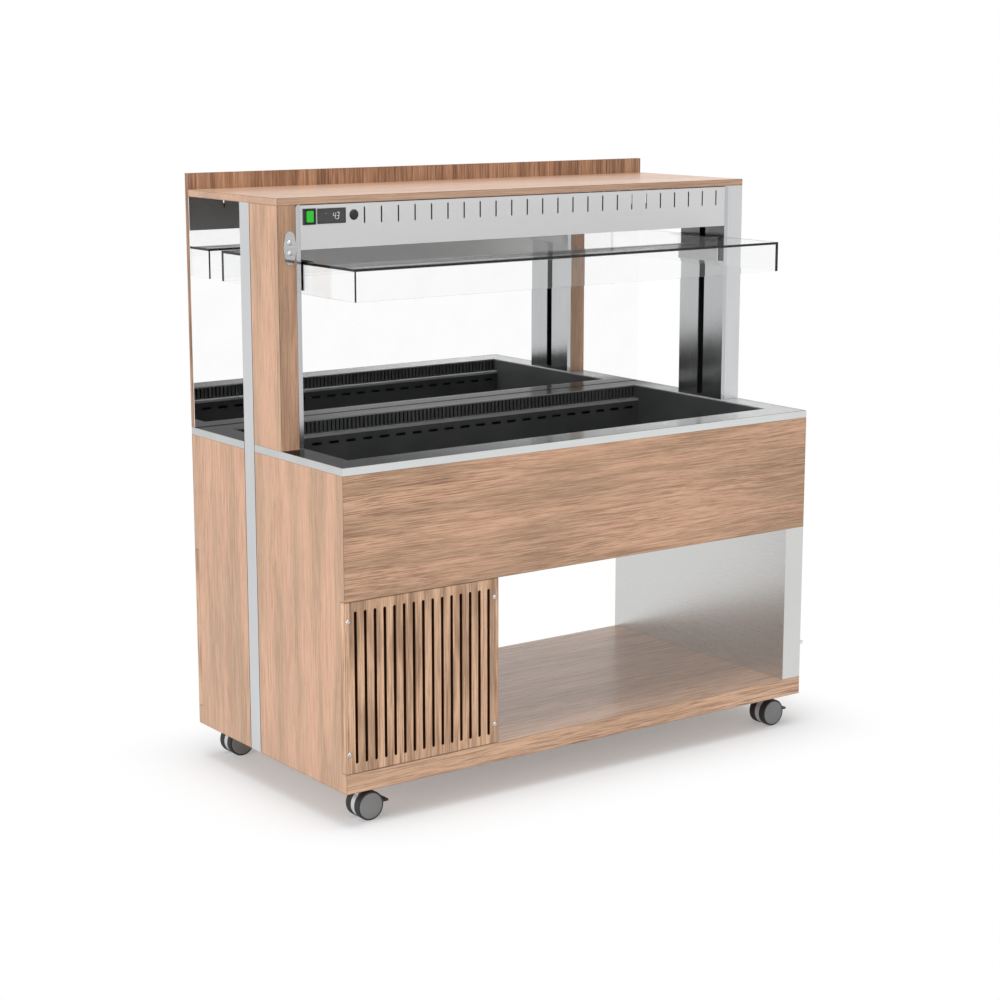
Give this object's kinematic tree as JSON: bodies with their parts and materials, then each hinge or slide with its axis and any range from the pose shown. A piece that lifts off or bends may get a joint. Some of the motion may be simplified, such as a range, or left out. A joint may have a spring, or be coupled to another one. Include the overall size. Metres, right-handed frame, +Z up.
{
  "type": "mobile salad bar",
  "caption": "Wheeled wooden salad bar counter with a chilled well, a glass canopy that lowers on side posts, a mirror back and a top shelf with controls.",
  "frame": {"origin": "on the floor, under the middle of the counter's footprint", "axes": "+X to the customer's right along the counter, +Y from the front towards the mirror, +Z up"},
  "size_m": [1.462, 0.7272, 1.505],
  "materials": {
    "wood_light": "light laminate with upright grain, satin",
    "wood_front": "mid-brown laminate with level grain, satin",
    "wood_grille": "mid-brown laminate with upright grain, satin",
    "wood_shelf": "pale laminate with level grain, satin",
    "wood_back": "brown laminate with upright streaks, satin",
    "steel_post": "fine brushed, satin",
    "steel_brushed": "brushed, satin",
    "worktop_steel": "smooth satin, reflective",
    "well_black": "dark satin coating",
    "polished_steel": "polished",
    "glass": "clear",
    "mirror": "silvered glass",
    "black_metal": "satin black",
    "condenser_alu": "bare mill finish",
    "copper": "bare copper tube",
    "brass": "satin",
    "lever_red": "dip-coated lever",
    "black_plastic": "matte black",
    "green_plastic": "bright green translucent plastic",
    "thermostat_grey": "dark grey",
    "white_plastic": "milky white",
    "caster_silver": "silver grey",
    "caster_wheel": "dark tread on grey core"
  },
  "bodies": {
    "counter": {"base_board": "wood_light", "side_front_left": "wood_light", "side_rear_left": "wood_light", "side_front_right": "wood_light", "side_rear_right": "wood_light", "uprights": "steel_post", "end_wall": "steel_brushed", "compartment_wall": "wood_grille", "fascia_front": "wood_front", "fascia_rear": "wood_front", "bay_ceiling": "steel_brushed", "grille_front": "wood_grille", "grille_rear": "wood_grille", "dome_screws": "polished_steel", "worktop": "worktop_steel", "well_tank": "well_black", "vent_strips": "well_black", "evaporator_coil": "copper", "drain_valve": "brass", "compressor": "black_metal", "condenser": "condenser_alu", "pipes": "copper", "cable_gland": "black_plastic", "back_panel": "wood_back", "mirror": "mirror", "top_shelf": "wood_shelf", "cladding_left": "wood_light", "cladding_right": "wood_light", "post_liners": "steel_post", "guide_rails": "black_metal", "gas_springs": "black_metal", "hood_front": "steel_brushed", "hood_rear": "steel_brushed", "hood_floor": "well_black", "hood_lamp": "condenser_alu", "lamp_diffuser": "white_plastic", "switch_housings": "black_plastic", "thermostat": "thermostat_grey", "oval_plate": "polished_steel", "side_buffers": "white_plastic", "caster_plates": "polished_steel", "caster_screws": "polished_steel"},
    "canopy": {"canopy_top": "glass", "canopy_skirt": "glass", "canopy_brackets": "steel_brushed", "spring_rods": "polished_steel"},
    "rocker": {"rocker": "green_plastic"},
    "round_button": {"round_button": "black_plastic"},
    "drain_lever": {"drain_lever": "lever_red"},
    "condenser_fan": {"condenser_fan": "black_plastic"},
    "caster_frame_fl": {"caster_frame_fl": "caster_silver"},
    "caster_wheels_fl": {"caster_wheels_fl": "caster_wheel"},
    "caster_frame_fr": {"caster_frame_fr": "caster_silver"},
    "caster_wheels_fr": {"caster_wheels_fr": "caster_wheel"},
    "caster_frame_rl": {"caster_frame_rl": "caster_silver"},
    "caster_wheels_rl": {"caster_wheels_rl": "caster_wheel"},
    "caster_frame_rr": {"caster_frame_rr": "caster_silver"},
    "caster_wheels_rr": {"caster_wheels_rr": "caster_wheel"},
    "caster_pedal_fl": {"caster_pedal_fl": "black_plastic"},
    "caster_pedal_fr": {"caster_pedal_fr": "black_plastic"}
  },
  "joints": [
    {"name": "canopy_lift", "type": "slide", "parent": "counter", "child": "canopy", "axis": [0, 0, 1], "range_m": [-0.367, 0]},
    {"name": "rocker_switch", "type": "hinge", "parent": "counter", "child": "rocker", "pos_m": [-0.638, -0.085, 1.419], "axis": [0, 0, 1], "range_deg": [0, 16]},
    {"name": "button_push", "type": "slide", "parent": "counter", "child": "round_button", "axis": [0, 1, 0], "range_m": [0, 0.003], "stiffness_N_per_m": 600},
    {"name": "drain_lever_turn", "type": "hinge", "parent": "counter", "child": "drain_lever", "pos_m": [-0.41, 0.0253, 0.236], "axis": [0, 1, 0], "range_deg": [0, 90]},
    {"name": "fan_spin", "type": "hinge", "parent": "counter", "child": "condenser_fan", "pos_m": [-0.5055, -0.27, 0.296], "axis": [0, 1, 0], "continuous": true},
    {"name": "swivel_front_left", "type": "hinge", "parent": "counter", "child": "caster_frame_fl", "pos_m": [-0.65, -0.302, 0.08], "axis": [0, 0, 1], "continuous": true},
    {"name": "wheels_front_left", "type": "hinge", "parent": "caster_frame_fl", "child": "caster_wheels_fl", "pos_m": [-0.64, -0.302, 0.036], "axis": [0, 1, 0], "continuous": true},
    {"name": "swivel_front_right", "type": "hinge", "parent": "counter", "child": "caster_frame_fr", "pos_m": [0.65, -0.302, 0.08], "axis": [0, 0, 1], "continuous": true},
    {"name": "wheels_front_right", "type": "hinge", "parent": "caster_frame_fr", "child": "caster_wheels_fr", "pos_m": [0.66, -0.302, 0.036], "axis": [0, 1, 0], "continuous": true},
    {"name": "swivel_rear_left", "type": "hinge", "parent": "counter", "child": "caster_frame_rl", "pos_m": [-0.65, 0.316, 0.08], "axis": [0, 0, 1], "continuous": true},
    {"name": "wheels_rear_left", "type": "hinge", "parent": "caster_frame_rl", "child": "caster_wheels_rl", "pos_m": [-0.64, 0.316, 0.036], "axis": [0, 1, 0], "continuous": true},
    {"name": "swivel_rear_right", "type": "hinge", "parent": "counter", "child": "caster_frame_rr", "pos_m": [0.65, 0.316, 0.08], "axis": [0, 0, 1], "continuous": true},
    {"name": "wheels_rear_right", "type": "hinge", "parent": "caster_frame_rr", "child": "caster_wheels_rr", "pos_m": [0.66, 0.316, 0.036], "axis": [0, 1, 0], "continuous": true},
    {"name": "brake_front_left", "type": "hinge", "parent": "caster_frame_fl", "child": "caster_pedal_fl", "pos_m": [-0.62, -0.302, 0.038], "axis": [0, 1, 0], "range_deg": [0, 12]},
    {"name": "brake_front_right", "type": "hinge", "parent": "caster_frame_fr", "child": "caster_pedal_fr", "pos_m": [0.68, -0.302, 0.038], "axis": [0, 1, 0], "range_deg": [0, 12]}
  ]
}
